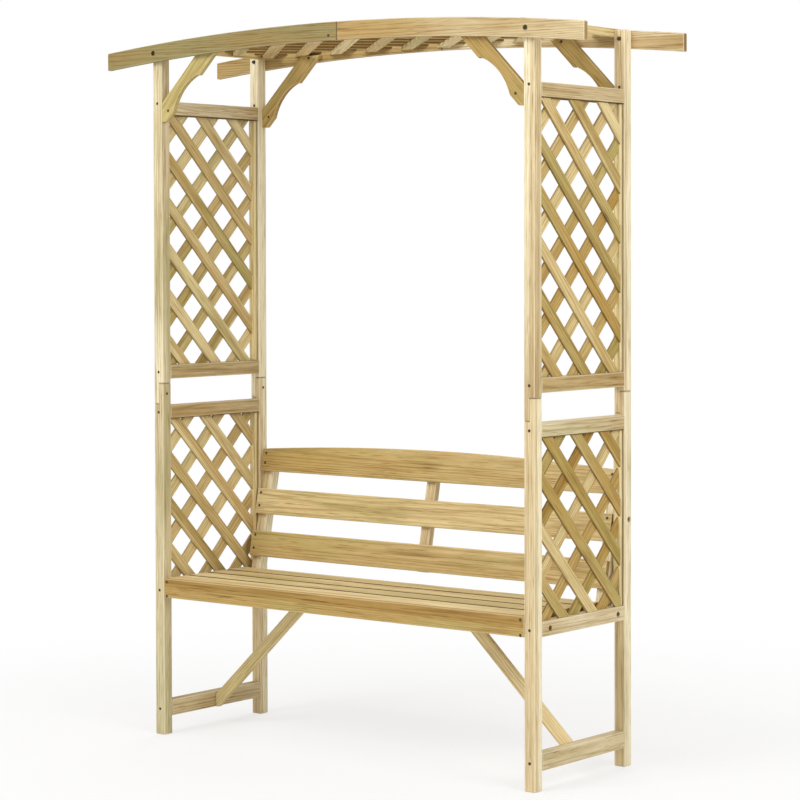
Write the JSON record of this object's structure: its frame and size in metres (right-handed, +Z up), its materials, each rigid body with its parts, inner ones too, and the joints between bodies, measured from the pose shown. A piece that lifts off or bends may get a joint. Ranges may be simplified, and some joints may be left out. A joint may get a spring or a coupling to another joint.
{
  "type": "arbour seat",
  "caption": "Timber garden arbour seat: slatted bench with a leaning back between two lattice side frames, under an arched lattice top with knee brackets.",
  "frame": {"origin": "on the ground, under the middle of the whole seat's width and depth", "axes": "+X to the right seen from the front, +Y from the front to the back, +Z up"},
  "size_m": [1.684, 0.5058, 2.0339],
  "materials": {
    "pale_frame": "planed pressure-treated pine, pale cream, matt",
    "honey_board": "planed pressure-treated pine, honey brown, matt",
    "ochre_lattice": "sawn pressure-treated pine, ochre with green tints, matt",
    "zinc_steel": "dull zinc plate"
  },
  "bodies": {
    "root": {"back_beam_left": "pale_frame", "back_beam_right": "pale_frame", "back_crest_rail": "honey_board", "back_left_beam_bolt": "zinc_steel", "back_left_bracket": "honey_board", "back_left_post_lower": "pale_frame", "back_left_post_upper": "pale_frame", "back_right_beam_bolt": "zinc_steel", "back_right_bracket": "honey_board", "back_right_post_lower": "pale_frame", "back_right_post_upper": "pale_frame", "back_slat_lower": "honey_board", "back_slat_middle": "honey_board", "centre_back_support": "honey_board", "front_beam_left": "pale_frame", "front_beam_right": "pale_frame", "front_left_beam_bolt": "zinc_steel", "front_left_bracket": "honey_board", "front_left_post_lower": "pale_frame", "front_left_post_upper": "pale_frame", "front_right_beam_bolt": "zinc_steel", "front_right_bracket": "honey_board", "front_right_post_lower": "pale_frame", "front_right_post_upper": "pale_frame", "left_back_support": "honey_board", "left_bearer_bolt": "zinc_steel", "left_brace": "honey_board", "left_lower_lattice": "ochre_lattice", "left_lower_panel_rail": "pale_frame", "left_middle_bearer": "honey_board", "left_seat_bearer": "honey_board", "left_seat_rail": "pale_frame", "left_stretcher": "pale_frame", "left_support_bolt_lower": "zinc_steel", "left_support_bolt_upper": "zinc_steel", "left_top_rail": "pale_frame", "left_upper_lattice": "ochre_lattice", "left_upper_panel_rail": "pale_frame", "right_back_support": "honey_board", "right_bearer_bolt": "zinc_steel", "right_brace": "honey_board", "right_lower_lattice": "ochre_lattice", "right_lower_panel_rail": "pale_frame", "right_middle_bearer": "honey_board", "right_seat_bearer": "honey_board", "right_seat_rail": "pale_frame", "right_stretcher": "pale_frame", "right_support_bolt_lower": "zinc_steel", "right_support_bolt_upper": "zinc_steel", "right_top_rail": "pale_frame", "right_upper_lattice": "ochre_lattice", "right_upper_panel_rail": "pale_frame", "roof_lattice": "ochre_lattice", "seat_apron": "honey_board", "seat_back_rail": "honey_board", "seat_slat_1": "honey_board", "seat_slat_2": "honey_board", "seat_slat_3": "honey_board", "seat_slat_4": "honey_board"}
  },
  "joints": []
}
